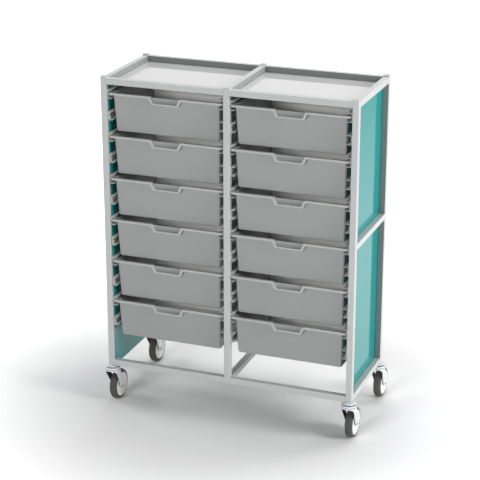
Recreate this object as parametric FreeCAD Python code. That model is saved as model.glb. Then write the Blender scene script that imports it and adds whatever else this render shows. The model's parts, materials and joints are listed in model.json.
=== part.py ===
import FreeCAD, Part

import math
import os

from FreeCAD import Vector

# Classroom tray storage unit: a square-tube frame on four swivel castors, with two columns of
# pull-out trays, a recessed shelf over each column and a coloured panel on each side.
# Millimetres, +Z up, X to the right, Y to the back. The origin is on the floor, at the middle
# of the footprint. The trays are drawn out towards -Y.

# ---------------------------------------------------------------- driving dimensions

# Frame of square steel tube
FRAME_WIDTH = 1050.0
FRAME_DEPTH = 430.0
FRAME_HEIGHT = 1220.0
TUBE = 25.0
TUBE_WALL = 1.5
TUBE_CORNER = 2.0
POST_RISE = 3.0
MID_RAIL_BELOW_TOP = 563.0

# Flat caps on the posts, and the inserts in their feet
CAP_HEAD = 3.0
CAP_PLUG = 10.0
CAP_CORNER = 1.5
INSERT_LENGTH = 32.0
FOOT_HEAD = 2.0
PLUG_CLEARANCE = 0.1

# Side panels and top shelves
PANEL_THICKNESS = 2.0
PANEL_SETBACK = 12.0
SHELF_THICKNESS = 3.0
SHELF_LAP = 12.0
SHELF_RISE = 0.5
SHEET_CLEARANCE = 0.5

# Tray runners: C-shaped channels with a closed back end
LEVELS = 12
LEVEL_PITCH = 87.0
FIRST_LEVEL_BELOW_SHELF = 17.0
RUNNER_HEIGHT = 37.0
RUNNER_REACH = 18.0
RUNNER_WALL = 1.5
RUNNER_CORNER = 2.5
RUNNER_FRONT_SETBACK = 4.0
RUNNER_BACK_SETBACK = 10.5

# Rivets
RIVET_RADIUS = 2.0
RIVET_HEAD_RADIUS = 4.0
RIVET_HEAD = 1.2
RIVET_DOME = 0.7
RIVET_TAIL = 1.0
RIVET_CLEARANCE = 0.05
RUNNER_RIVET_INSET = 18.0
SHELF_RIVETS = 3

# Trays
TRAY_STEP = 2
TRAY_HEIGHT = 158.0
TRAY_WALL = 2.5
RIM_THICKNESS = 3.0
RIM_CORNER = 6.0
RIM_BELOW_RUNNER_TOP = 13.5
RIM_SIDE_CLEARANCE = 2.5
RIM_SIDE = 15.0
RIM_BACK = 13.0
BODY_CORNER = 9.0
BODY_FOOT_RADIUS = 5.0
SIDE_DRAFT = 6.0
FRONT_DRAFT = 14.0
BACK_DRAFT = 9.0
LIP_SETBACK = 2.0
LIP_THICKNESS = 3.0
LIP_HEIGHT = 8.5
LIP_TO_WALL = 8.0
SKID_FRONT = 18.0
STOP_CLEARANCE = 0.3
SKID_CLEARANCE = 0.3

# Handle: the front lip and its flange dip in a trapezoid, in front of the tray's wall
DIP_TOP_WIDTH = 123.0
DIP_FOOT_WIDTH = 97.0
DIP_DEPTH = 26.0
DIP_BAND = 6.0
DIP_SIDE_BAND = 7.5
DIP_WALL_DROP = 5.0

# Castors
WHEEL_RADIUS = 64.0
WHEEL_WIDTH = 32.0
TYRE_INNER_RADIUS = 50.0
TYRE_SHOULDER = 11.0
TYRE_SEAT = 30.0
AXLE_DROP = 111.0
TRAIL = 51.0
STEM_RADIUS = 6.0
STEM_LENGTH = 28.0
COLLAR_RADIUS = 12.0
COLLAR_HEIGHT = 2.0
TOP_RACE_RADIUS = 28.0
TOP_RACE_HEIGHT = 4.5
TOP_RACE_EDGE = 1.5
BALL_RING_RADIUS = 24.0
BALL_RING_HEIGHT = 3.5
PIN_HEAD_RADIUS = 11.0
PIN_HEAD_HEIGHT = 4.0
CROWN_RADIUS = 31.5
CROWN_HEIGHT = 20.0
CROWN_PLATE = 3.0
CROWN_EDGE = 2.0
CROWN_GROOVE_DROP = 7.5
CROWN_GROOVE_HEIGHT = 2.0
CROWN_GROOVE_DEPTH = 2.0
CROWN_CUP_RADIUS = 15.0
FORK_SHEET = 3.0
FORK_FOOT_WIDTH = 41.0
FORK_TOP_RADIUS = 27.0
FORK_TOP_SHIFT = 2.0
FORK_TOP_DROP = 32.7
FORK_ARCH_WIDTH = 51.0
FORK_ARCH_FOOT_WIDTH = 27.0
FORK_ARCH_RADIUS = 12.0
FORK_ARCH_DROP = 14.7
LEG_END_RADIUS = 14.0
BOSS_RADIUS = 9.0
BOSS_WIDTH = 45.0
WHEEL_SPACE = 35.0
BOLT_RADIUS = 4.0
BOLT_HEAD_RADIUS = 7.5
BOLT_HEAD = 3.0
HUB_RADIUS = 13.0
WEB_WIDTH = 22.0
WEB_EDGE_RADIUS = 38.0
WEB_STEP = 1.5
HUB_SLOPE = 8.0
DISC_RIM_WIDTH = 32.0
DISC_CHAMFER = 1.0
RUNNING_CLEARANCE = 0.05
AXIAL_CLEARANCE = 0.3
WHEEL_CLEARANCE = 0.3

# ---------------------------------------------------------------- derived places

FRAME_Z = AXLE_DROP + WHEEL_RADIUS
FOOTPRINT_FRONT = TUBE / 2 - CROWN_RADIUS
FOOTPRINT_BACK = FRAME_DEPTH - TUBE / 2 + TRAIL + WHEEL_RADIUS
FRONT_Y = -(FOOTPRINT_FRONT + FOOTPRINT_BACK) / 2
BACK_Y = FRONT_Y + FRAME_DEPTH
LEFT_X = -FRAME_WIDTH / 2
RIGHT_X = FRAME_WIDTH / 2
TOP_RAIL_Z = FRAME_Z + FRAME_HEIGHT - TUBE
MID_RAIL_Z = FRAME_Z + FRAME_HEIGHT - MID_RAIL_BELOW_TOP - TUBE
BAY_WIDTH = (FRAME_WIDTH - 3 * TUBE) / 2
SIDE_CLEAR = FRAME_DEPTH - 2 * TUBE
SHELF_Z = TOP_RAIL_Z - SHELF_THICKNESS

RUNNER_FRONT_Y = FRONT_Y + RUNNER_FRONT_SETBACK
RUNNER_BACK_Y = BACK_Y - RUNNER_BACK_SETBACK
FIRST_LEVEL_Z = SHELF_Z - FIRST_LEVEL_BELOW_SHELF
RUNNER_CLEAR = BAY_WIDTH - PANEL_THICKNESS - 2 * RUNNER_WALL
BAY_CENTRE = TUBE / 2 + RUNNER_WALL + RUNNER_CLEAR / 2

TRAY_FRONT_Y = FRONT_Y + LIP_SETBACK
TRAY_BACK_Y = RUNNER_BACK_Y - RUNNER_WALL - STOP_CLEARANCE
RIM_HALF = RUNNER_CLEAR / 2 - RIM_SIDE_CLEARANCE
BODY_HALF = RIM_HALF - RIM_SIDE
BODY_FRONT_Y = TRAY_FRONT_Y + LIP_THICKNESS + LIP_TO_WALL
BODY_BACK_Y = TRAY_BACK_Y - RIM_BACK
SKID_DROP = RUNNER_HEIGHT - RUNNER_WALL - RIM_BELOW_RUNNER_TOP - SKID_CLEARANCE

CASTOR_PLACES = {
    "front_left": (LEFT_X + TUBE / 2, FRONT_Y + TUBE / 2),
    "front_right": (RIGHT_X - TUBE / 2, FRONT_Y + TUBE / 2),
    "back_left": (LEFT_X + TUBE / 2, BACK_Y - TUBE / 2),
    "back_right": (RIGHT_X - TUBE / 2, BACK_Y - TUBE / 2),
}


# ---------------------------------------------------------------- shared shapes

def export(name, shapes):
    """Write one node: a single solid, or a group of separate solids."""
    shape = shapes[0] if len(shapes) == 1 else Part.makeCompound(shapes)
    shape.exportStep("parts/" + name + ".step")


def box(x0, x1, y0, y1, z0, z1):
    """Block between two corners."""
    return Part.makeBox(x1 - x0, y1 - y0, z1 - z0, Vector(x0, y0, z0))


def disc(radius, z0, z1):
    """Upright cylinder on the Z axis."""
    return Part.makeCylinder(radius, z1 - z0, Vector(0, 0, z0))


def rounded_outline(x0, x1, y0, y1, z, radius):
    """Closed wire of a rectangle with round corners, at the height z."""
    middle = radius * (1 - math.sqrt(0.5))
    start = [Vector(x0 + radius, y0, z), Vector(x1, y0 + radius, z), Vector(x1 - radius, y1, z),
             Vector(x0, y1 - radius, z)]
    end = [Vector(x1 - radius, y0, z), Vector(x1, y1 - radius, z), Vector(x0 + radius, y1, z),
           Vector(x0, y0 + radius, z)]
    corner = [Vector(x1 - middle, y0 + middle, z), Vector(x1 - middle, y1 - middle, z),
              Vector(x0 + middle, y1 - middle, z), Vector(x0 + middle, y0 + middle, z)]
    edges = []
    for side in range(4):
        edges.append(Part.LineSegment(start[side], end[side]).toShape())
        edges.append(Part.Arc(end[side], corner[side], start[(side + 1) % 4]).toShape())
    return Part.Wire(edges)


def rounded_block(x0, x1, y0, y1, z0, z1, radius):
    """Block with its four upright edges rounded."""
    face = Part.Face(rounded_outline(x0, x1, y0, y1, z0, radius))
    return face.extrude(Vector(0, 0, z1 - z0))


def polygon_prism(points, direction):
    """Flat outline of straight edges, carried along one direction."""
    return Part.Face(Part.makePolygon(points + [points[0]])).extrude(direction)


def moved(shape, x, y, z):
    """Copy of a shape, shifted."""
    copy = shape.copy()
    copy.translate(Vector(x, y, z))
    return copy


def mirrored(shape):
    """Copy of a shape on the other side of the unit's middle plane."""
    return shape.mirror(Vector(0, 0, 0), Vector(1, 0, 0))


def tube(length, axis):
    """Square tube from the origin along X, Y or Z, in the positive octant."""
    inner = TUBE - TUBE_WALL
    outside = rounded_block(0, TUBE, 0, TUBE, 0, length, TUBE_CORNER)
    bore = rounded_block(TUBE_WALL, inner, TUBE_WALL, inner, 0, length, TUBE_CORNER - TUBE_WALL)
    piece = outside.cut(bore)
    if axis == "x":
        piece.rotate(Vector(0, 0, 0), Vector(0, 1, 0), 90)
        piece.translate(Vector(0, 0, TUBE))
    if axis == "y":
        piece.rotate(Vector(0, 0, 0), Vector(1, 0, 0), -90)
        piece.translate(Vector(0, 0, TUBE))
    return piece


def rivet(x, y, z, direction, grip):
    """Domed rivet whose head sits at a point and whose shank runs along the direction."""
    along = Vector(*direction)
    seat = Vector(x, y, z)
    head = Part.makeCylinder(RIVET_HEAD_RADIUS, RIVET_HEAD, seat, along * -1)
    outer_rim = max(head.Edges, key=lambda edge: (seat - edge.CenterOfMass).dot(along))
    head = head.makeFillet(RIVET_DOME, [outer_rim])
    shank = Part.makeCylinder(RIVET_RADIUS, grip + RIVET_TAIL, seat, along)
    return head.fuse(shank)


def rivet_hole(x, y, z, direction, depth):
    """Bore for a rivet's shank, through everything that it grips."""
    return Part.makeCylinder(RIVET_RADIUS + RIVET_CLEARANCE, depth, Vector(x, y, z), Vector(*direction))


# ---------------------------------------------------------------- rivet places

def level_z(level):
    """Top of a runner level, counted from 1 at the top."""
    return FIRST_LEVEL_Z - (level - 1) * LEVEL_PITCH


RUNNER_RIVET_Y = [FRONT_Y + RUNNER_RIVET_INSET, BACK_Y - RUNNER_RIVET_INSET]
RUNNER_RIVET_Z = [level_z(level) - RUNNER_HEIGHT / 2 for level in range(1, LEVELS + 1)]
PANEL_FACE_X = LEFT_X + TUBE + PANEL_THICKNESS
OUTER_WEB_X = PANEL_FACE_X + RUNNER_WALL
INNER_WEB_X = -TUBE / 2 - RUNNER_WALL
OUTER_GRIP = RUNNER_WALL + PANEL_THICKNESS + TUBE_WALL
INNER_GRIP = RUNNER_WALL + TUBE_WALL
SHELF_GRIP = SHELF_THICKNESS + TUBE_WALL


def runner_rivets(x, direction, grip):
    """The rivets of one set of runners, one into each post at each level."""
    return [rivet(x, y, z, direction, grip) for y in RUNNER_RIVET_Y for z in RUNNER_RIVET_Z]


def runner_rivet_holes(x, direction, depth):
    """The bores of one set of runners, as one tool."""
    holes = [rivet_hole(x, y, z, direction, depth) for y in RUNNER_RIVET_Y for z in RUNNER_RIVET_Z]
    return Part.makeCompound(holes)


def shelf_rivet_places():
    """Where the left shelf is riveted to its front and back rails, as (x, y)."""
    step = BAY_WIDTH / SHELF_RIVETS
    along = [LEFT_X + TUBE + step * (count + 0.5) for count in range(SHELF_RIVETS)]
    inset = TUBE - SHELF_LAP / 2
    return [(x, y) for y in (FRONT_Y + inset, BACK_Y - inset) for x in along]


OUTER_HOLES = runner_rivet_holes(OUTER_WEB_X, (-1, 0, 0), OUTER_GRIP + RIVET_TAIL)
INNER_HOLES = runner_rivet_holes(INNER_WEB_X, (1, 0, 0), INNER_GRIP + RIVET_TAIL)
SHELF_HOLES = Part.makeCompound(
    [rivet_hole(x, y, SHELF_Z, (0, 0, 1), SHELF_GRIP + RIVET_TAIL) for x, y in shelf_rivet_places()])


# ---------------------------------------------------------------- frame

def posts():
    """Six full-height posts, with the rivet bores of the runners."""
    upright = tube(FRAME_HEIGHT + POST_RISE, "z")
    for side_y, y in (("front", FRONT_Y), ("back", BACK_Y - TUBE)):
        left = moved(upright, LEFT_X, y, FRAME_Z).cut(OUTER_HOLES)
        centre = moved(upright, -TUBE / 2, y, FRAME_Z).cut(INNER_HOLES).cut(mirrored(INNER_HOLES))
        export("post_" + side_y + "_left", [left])
        export("post_" + side_y + "_centre", [centre])
        export("post_" + side_y + "_right", [mirrored(left)])


def long_rails():
    """Top and bottom rails along the width, one per bay at the front and at the back."""
    rail = tube(BAY_WIDTH, "x")
    for height, z in (("top", TOP_RAIL_Z), ("bottom", FRAME_Z)):
        for side_y, y in (("front", FRONT_Y), ("back", BACK_Y - TUBE)):
            left = moved(rail, LEFT_X + TUBE, y, z)
            if height == "top":
                left = left.cut(SHELF_HOLES)
            export("rail_" + height + "_" + side_y + "_left", [left])
            export("rail_" + height + "_" + side_y + "_right", [mirrored(left)])


def cross_rails():
    """Rails front to back: at each side and in the middle, and half-way up each side."""
    rail = tube(SIDE_CLEAR, "y")
    y = FRONT_Y + TUBE
    for height, z in (("top", TOP_RAIL_Z), ("bottom", FRAME_Z), ("middle", MID_RAIL_Z)):
        left = moved(rail, LEFT_X, y, z)
        export("rail_" + height + "_side_left", [left])
        export("rail_" + height + "_side_right", [mirrored(left)])
        if height != "middle":
            export("rail_" + height + "_cross_centre", [moved(rail, -TUBE / 2, y, z)])


def square_plug(length):
    """Plug that fills a tube's bore, upright from z = 0, on the tube's axis."""
    half = TUBE / 2 - TUBE_WALL - PLUG_CLEARANCE
    return rounded_block(-half, half, -half, half, 0, length, TUBE_CORNER / 2)


def post_places():
    """Axes of the six posts, as (x, y)."""
    return [(x, y) for x in (LEFT_X + TUBE / 2, 0.0, RIGHT_X - TUBE / 2)
            for y in (FRONT_Y + TUBE / 2, BACK_Y - TUBE / 2)]


def post_caps():
    """Flat caps that close the posts' tops."""
    half = TUBE / 2
    head = rounded_block(-half, half, -half, half, 0, CAP_HEAD, TUBE_CORNER)
    rim = [edge for edge in head.Edges if edge.BoundBox.ZMin > CAP_HEAD / 2]
    cap = head.makeFillet(CAP_CORNER, rim).fuse(moved(square_plug(CAP_PLUG), 0, 0, -CAP_PLUG))
    top = FRAME_Z + FRAME_HEIGHT + POST_RISE
    export("post_caps", [moved(cap, x, y, top) for x, y in post_places()])


def foot_inserts():
    """Threaded castor sockets in the corner posts, and flat plugs in the centre posts."""
    half = TUBE / 2
    socket = square_plug(INSERT_LENGTH).cut(disc(STEM_RADIUS + RUNNING_CLEARANCE, 0, INSERT_LENGTH))
    head = rounded_block(-half, half, -half, half, -FOOT_HEAD, 0, TUBE_CORNER)
    plug = head.fuse(square_plug(CAP_PLUG))
    sockets = [moved(socket, x, y, FRAME_Z) for x, y in CASTOR_PLACES.values()]
    plugs = [moved(plug, x, y, FRAME_Z) for x, y in post_places() if x == 0.0]
    export("post_foot_inserts", sockets + plugs)


# ---------------------------------------------------------------- panels and shelves

def side_panels():
    """Coloured panels on the inner faces of the side tubes, notched round the long bottom rails."""
    notch_y = TUBE + SHEET_CLEARANCE
    notch_z = FRAME_Z + TUBE + SHEET_CLEARANCE
    x0 = LEFT_X + TUBE
    panel = box(x0, PANEL_FACE_X, FRONT_Y + PANEL_SETBACK, BACK_Y - PANEL_SETBACK, FRAME_Z, SHELF_Z)
    panel = panel.cut(box(x0, PANEL_FACE_X, FRONT_Y, FRONT_Y + notch_y, FRAME_Z, notch_z))
    panel = panel.cut(box(x0, PANEL_FACE_X, BACK_Y - notch_y, BACK_Y, FRAME_Z, notch_z))
    panel = panel.cut(OUTER_HOLES)
    export("side_panel_left", [panel])
    export("side_panel_right", [mirrored(panel)])


def top_shelves():
    """Flat shelves under the top rails, notched round the posts, their field raised between the rails."""
    x0 = LEFT_X + TUBE - SHELF_LAP
    x1 = -TUBE / 2 + SHELF_LAP
    y0 = FRONT_Y + TUBE - SHELF_LAP
    y1 = BACK_Y - TUBE + SHELF_LAP
    notch = SHELF_LAP + SHEET_CLEARANCE
    shelf = box(x0, x1, y0, y1, SHELF_Z, TOP_RAIL_Z)
    for notch_x in (x0, x1 - notch):
        for notch_y in (y0, y1 - notch):
            corner = box(notch_x, notch_x + notch, notch_y, notch_y + notch, SHELF_Z, TOP_RAIL_Z)
            shelf = shelf.cut(corner)
    field = box(LEFT_X + TUBE + SHEET_CLEARANCE, -TUBE / 2 - SHEET_CLEARANCE,
                FRONT_Y + TUBE + SHEET_CLEARANCE, BACK_Y - TUBE - SHEET_CLEARANCE,
                TOP_RAIL_Z, TOP_RAIL_Z + SHELF_RISE)
    shelf = shelf.cut(SHELF_HOLES).fuse(field)
    export("top_shelf_left", [shelf])
    export("top_shelf_right", [mirrored(shelf)])


def shelf_rivets():
    """Rivets that hold the shelves to the rails."""
    left = [rivet(x, y, SHELF_Z, (0, 0, 1), SHELF_GRIP) for x, y in shelf_rivet_places()]
    export("shelf_rivets", left + [mirrored(piece) for piece in left])


# ---------------------------------------------------------------- runners

def runner(web_x, side):
    """One channel at z = 0 downwards: its web's outer face at web_x, open towards `side`."""
    outer = box(0, RUNNER_REACH, RUNNER_FRONT_Y, RUNNER_BACK_Y, -RUNNER_HEIGHT, 0)
    bends = [edge for edge in outer.Edges
             if edge.BoundBox.XMax < RUNNER_WALL and edge.BoundBox.YLength > RUNNER_REACH * 2]
    outer = outer.makeFillet(RUNNER_CORNER, bends)
    pocket = box(RUNNER_WALL, RUNNER_REACH, RUNNER_FRONT_Y, RUNNER_BACK_Y - RUNNER_WALL,
                 -RUNNER_HEIGHT + RUNNER_WALL, -RUNNER_WALL)
    bends = [edge for edge in pocket.Edges
             if edge.BoundBox.XMax < 2 * RUNNER_WALL and edge.BoundBox.YLength > RUNNER_REACH * 2]
    channel = outer.cut(pocket.makeFillet(RUNNER_CORNER - RUNNER_WALL, bends))
    if side < 0:
        channel = mirrored(channel)
    return moved(channel, web_x, 0, 0)


def runners():
    """Four sets of runners, and their rivets."""
    outer = runner(PANEL_FACE_X, 1)
    inner = runner(-TUBE / 2, -1)
    levels = [level_z(level) for level in range(1, LEVELS + 1)]
    outer_set = [moved(outer, 0, 0, z).cut(OUTER_HOLES) for z in levels]
    inner_set = [moved(inner, 0, 0, z).cut(INNER_HOLES) for z in levels]
    export("runners_left_outer", outer_set)
    export("runners_left_inner", inner_set)
    export("runners_right_inner", [mirrored(piece) for piece in inner_set])
    export("runners_right_outer", [mirrored(piece) for piece in outer_set])
    left = runner_rivets(OUTER_WEB_X, (-1, 0, 0), OUTER_GRIP)
    left += runner_rivets(INNER_WEB_X, (1, 0, 0), INNER_GRIP)
    export("runner_rivets", left + [mirrored(piece) for piece in left])


# ---------------------------------------------------------------- trays

def body_block(inset, foot_z):
    """Tapered body with round corners, its walls `inset` inside the outer faces."""
    depth = -foot_z / TRAY_HEIGHT
    half_top = BODY_HALF - inset
    half_foot = half_top - SIDE_DRAFT * depth
    front_top = BODY_FRONT_Y + inset
    front_foot = front_top + FRONT_DRAFT * depth
    back_top = BODY_BACK_Y - inset
    back_foot = back_top - BACK_DRAFT * depth
    radius = BODY_CORNER - inset
    foot = rounded_outline(-half_foot, half_foot, front_foot, back_foot, foot_z, radius)
    top = rounded_outline(-half_top, half_top, front_top, back_top, 0, radius)
    return Part.makeLoft([foot, top], True, True)


def softened_foot(block, foot_z, radius):
    """The block with its lowest edges rounded."""
    low = [edge for edge in block.Edges if edge.BoundBox.ZMax < foot_z + 0.01]
    return block.makeFillet(radius, low)


def dipping_strip(outside, inside, depth):
    """Strip that dips in the middle: its right half's edges as (x, z), carried back from the front."""
    outline = [(-x, z) for x, z in outside] + outside[::-1] + inside[::-1] + [(-x, z) for x, z in inside]
    return polygon_prism([Vector(x, TRAY_FRONT_Y, z) for x, z in outline], Vector(0, depth, 0))


def front_lip():
    """Lip under the rim's front edge, and the band that carries it round the handle's dip."""
    half_top = DIP_TOP_WIDTH / 2
    half_foot = DIP_FOOT_WIDTH / 2
    outside = [(RIM_HALF, 0), (RIM_HALF, -LIP_HEIGHT), (half_top + DIP_SIDE_BAND, -LIP_HEIGHT),
               (half_foot + DIP_SIDE_BAND, -DIP_DEPTH - DIP_BAND)]
    return dipping_strip(outside, [(half_foot, -DIP_DEPTH), (half_top, 0)], LIP_THICKNESS)


def handle_flange():
    """Flange round the dip: slanted ends and a ledge at the band's foot, from the lip to the wall."""
    half_top = DIP_TOP_WIDTH / 2
    slope = (DIP_TOP_WIDTH - DIP_FOOT_WIDTH) / 2 / DIP_DEPTH
    foot = DIP_DEPTH + DIP_BAND
    ledge = foot - RIM_THICKNESS
    outside = [(half_top + RIM_THICKNESS, 0), (half_top + RIM_THICKNESS - slope * foot, -foot)]
    inside = [(half_top - slope * ledge, -ledge), (half_top, 0)]
    into_wall = BODY_FRONT_Y - TRAY_FRONT_Y + FRONT_DRAFT * foot / TRAY_HEIGHT + TRAY_WALL / 2
    return dipping_strip(outside, inside, into_wall)


def tray():
    """One tray about x = 0, with the top of its rim at z = 0."""
    inner_foot = -TRAY_HEIGHT + TRAY_WALL
    cavity = softened_foot(body_block(TRAY_WALL, inner_foot), inner_foot, BODY_FOOT_RADIUS - TRAY_WALL)
    body = softened_foot(body_block(0, -TRAY_HEIGHT), -TRAY_HEIGHT, BODY_FOOT_RADIUS)
    rim = rounded_block(-RIM_HALF, RIM_HALF, TRAY_FRONT_Y, TRAY_BACK_Y, -RIM_THICKNESS, 0, RIM_CORNER)
    skid_y = TRAY_FRONT_Y + SKID_FRONT
    skid_back = TRAY_BACK_Y - RIM_CORNER
    skid = box(RIM_HALF - RIM_THICKNESS, RIM_HALF, skid_y, skid_back, -SKID_DROP, -RIM_THICKNESS / 2)
    back_lip = box(-BODY_HALF, BODY_HALF, TRAY_BACK_Y - RIM_THICKNESS, TRAY_BACK_Y, -LIP_HEIGHT,
                   -RIM_THICKNESS / 2)
    shell = body.fuse([rim, skid, mirrored(skid), back_lip])
    half = DIP_TOP_WIDTH / 2
    shell = shell.cut(box(-half, half, TRAY_FRONT_Y, BODY_FRONT_Y, -RIM_THICKNESS, 0))
    shell = shell.cut(box(-half, half, TRAY_FRONT_Y, BODY_FRONT_Y + TRAY_WALL * 2, -DIP_WALL_DROP, 0))
    corner_cut = rounded_block(-RIM_HALF, RIM_HALF, TRAY_FRONT_Y, TRAY_BACK_Y, -TRAY_HEIGHT, 0, RIM_CORNER)
    shell = shell.fuse([front_lip().common(corner_cut), handle_flange()])
    return shell.cut(cavity).removeSplitter()


def trays():
    """Two columns of trays, one on every second runner level."""
    piece = tray()
    for column, x in (("left", -BAY_CENTRE), ("right", BAY_CENTRE)):
        for row in range(LEVELS // TRAY_STEP):
            z = level_z(1 + row * TRAY_STEP) - RIM_BELOW_RUNNER_TOP
            export("tray_" + column + "_" + str(row + 1), [moved(piece, x, 0, z)])


# ---------------------------------------------------------------- castors

# Heights in a castor's own frame: z = 0 is the underside of the tube frame, on the swivel axis
RACE_TOP = -COLLAR_HEIGHT
RACE_FOOT = RACE_TOP - TOP_RACE_HEIGHT
CROWN_TOP = RACE_FOOT - BALL_RING_HEIGHT - AXIAL_CLEARANCE
CROWN_FOOT = CROWN_TOP - CROWN_HEIGHT
ARCH_TOP = CROWN_TOP - FORK_ARCH_DROP


def castor_head():
    """Fixed part: threaded stem, collar, top race, and the swivel pin with its head."""
    race = disc(TOP_RACE_RADIUS, RACE_FOOT, RACE_TOP)
    rims = [edge for edge in race.Edges if edge.Length > TOP_RACE_RADIUS * 6]
    race = race.makeFillet(TOP_RACE_EDGE, rims)
    head_top = CROWN_TOP - CROWN_PLATE - AXIAL_CLEARANCE
    stem = disc(STEM_RADIUS, RACE_TOP, STEM_LENGTH)
    collar = disc(COLLAR_RADIUS, RACE_TOP, 0)
    ring = disc(BALL_RING_RADIUS, RACE_FOOT - BALL_RING_HEIGHT, RACE_FOOT)
    pin = disc(STEM_RADIUS, head_top, RACE_FOOT)
    pin_head = disc(PIN_HEAD_RADIUS, head_top - PIN_HEAD_HEIGHT, head_top)
    return race.fuse([stem, collar, ring, pin, pin_head]).removeSplitter()


def leg_outline(x):
    """Fork seen from the side: a bar that tapers from under the crown to round the axle."""
    top = Vector(x, -FORK_TOP_SHIFT, CROWN_TOP - FORK_TOP_DROP)
    axle = Vector(x, TRAIL, -AXLE_DROP)
    span = axle.sub(top)
    along = Vector(span)
    along.normalize()
    across = Vector(0, -along.z, along.y)
    lean = (FORK_TOP_RADIUS - LEG_END_RADIUS) / span.Length
    rise = math.sqrt(1 - lean * lean)
    front = along * lean - across * rise
    back = along * lean + across * rise
    top_front = top + front * FORK_TOP_RADIUS
    top_back = top + back * FORK_TOP_RADIUS
    end_front = axle + front * LEG_END_RADIUS
    end_back = axle + back * LEG_END_RADIUS
    edges = [
        Part.LineSegment(top_front, end_front).toShape(),
        Part.Arc(end_front, axle + along * LEG_END_RADIUS, end_back).toShape(),
        Part.LineSegment(end_back, top_back).toShape(),
        Part.Arc(top_back, top - along * FORK_TOP_RADIUS, top_front).toShape(),
    ]
    return Part.Face(Part.Wire(edges))


def hood(inset, top_z):
    """Tapering hood, round under the crown and narrow at the axle, `inset` inside its outer face."""
    foot_z = -AXLE_DROP - LEG_END_RADIUS
    top_half = CROWN_RADIUS - inset
    foot_half = FORK_FOOT_WIDTH / 2 - inset
    foot_front = TRAIL - LEG_END_RADIUS + inset
    foot_back = TRAIL + LEG_END_RADIUS - inset
    top = rounded_outline(-top_half, top_half, -top_half, top_half, top_z, top_half - AXIAL_CLEARANCE)
    foot = rounded_outline(-foot_half, foot_half, foot_front, foot_back, foot_z, FORK_SHEET * 2 - inset)
    return Part.makeLoft([foot, top], True, True)


def arch():
    """Way through the fork for the wheel: narrower at the axle, with a round-cornered top."""
    half_top = FORK_ARCH_WIDTH / 2
    half_foot = FORK_ARCH_FOOT_WIDTH / 2
    reach = TRAIL + WHEEL_RADIUS
    foot = -AXLE_DROP - WHEEL_RADIUS
    points = [Vector(-half_foot, -reach, foot), Vector(half_foot, -reach, foot),
              Vector(half_top, -reach, ARCH_TOP), Vector(-half_top, -reach, ARCH_TOP)]
    block = polygon_prism(points, Vector(0, 2 * reach, 0))
    edges = [edge for edge in block.Edges
             if edge.BoundBox.ZMin > ARCH_TOP - 1 and edge.BoundBox.YLength > reach]
    return block.makeFillet(FORK_ARCH_RADIUS, edges)


def across_axle(radius, x0, x1):
    """Cylinder along X on the axle's line."""
    return Part.makeCylinder(radius, x1 - x0, Vector(x0, TRAIL, -AXLE_DROP), Vector(1, 0, 0))


def fork():
    """Swivelling fork: a crown over a hood with two legs, bored for the swivel pin and the axle."""
    crown = disc(CROWN_RADIUS, CROWN_FOOT, CROWN_TOP)
    rims = [edge for edge in crown.Edges if edge.BoundBox.ZMin > CROWN_TOP - 1 and edge.Length > CROWN_RADIUS]
    groove_top = CROWN_TOP - CROWN_GROOVE_DROP
    groove_foot = groove_top - CROWN_GROOVE_HEIGHT
    groove = disc(CROWN_RADIUS + 1, groove_foot, groove_top).cut(
        disc(CROWN_RADIUS - CROWN_GROOVE_DEPTH, groove_foot, groove_top))
    crown = crown.makeFillet(CROWN_EDGE, rims).cut(groove)
    side_view = leg_outline(-CROWN_RADIUS).extrude(Vector(2 * CROWN_RADIUS, 0, 0))
    legs = hood(0, CROWN_FOOT).common(side_view).cut(hood(FORK_SHEET, ARCH_TOP))
    cup = disc(CROWN_CUP_RADIUS, ARCH_TOP - 1, CROWN_TOP - CROWN_PLATE)
    bore = disc(STEM_RADIUS + RUNNING_CLEARANCE, ARCH_TOP, 0)
    body = crown.fuse(legs).cut(arch()).cut(cup).cut(bore)
    bosses = [across_axle(BOSS_RADIUS, -BOSS_WIDTH / 2, -WHEEL_SPACE / 2),
              across_axle(BOSS_RADIUS, WHEEL_SPACE / 2, BOSS_WIDTH / 2)]
    axle_bore = across_axle(BOLT_RADIUS + RUNNING_CLEARANCE, -BOSS_WIDTH, BOSS_WIDTH)
    return body.fuse(bosses).cut(axle_bore).removeSplitter()


def hexagon(x0, x1):
    """Hexagon head across the axle's line."""
    points = []
    for corner in range(6):
        turn = math.radians(60 * corner)
        points.append(Vector(x0, TRAIL + BOLT_HEAD_RADIUS * math.cos(turn),
                             -AXLE_DROP + BOLT_HEAD_RADIUS * math.sin(turn)))
    return polygon_prism(points, Vector(x1 - x0, 0, 0))


def axle_bolt():
    """Axle bolt with its head and its nut against the fork's legs."""
    outer = BOSS_WIDTH / 2
    shank = across_axle(BOLT_RADIUS, -outer - BOLT_HEAD, outer + BOLT_HEAD)
    return shank.fuse([hexagon(-outer - BOLT_HEAD, -outer), hexagon(outer, outer + BOLT_HEAD)])


def turned(profile):
    """Solid of revolution about the axle, from (radius, half width) points on one side."""
    right = [Vector(half, TRAIL, -AXLE_DROP + radius) for radius, half in profile]
    left = [Vector(-half, TRAIL, -AXLE_DROP + radius) for radius, half in profile[::-1]]
    wire = Part.makePolygon(right + left + [right[0]])
    return Part.Face(wire).revolve(Vector(0, TRAIL, -AXLE_DROP), Vector(1, 0, 0), 360)


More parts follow.
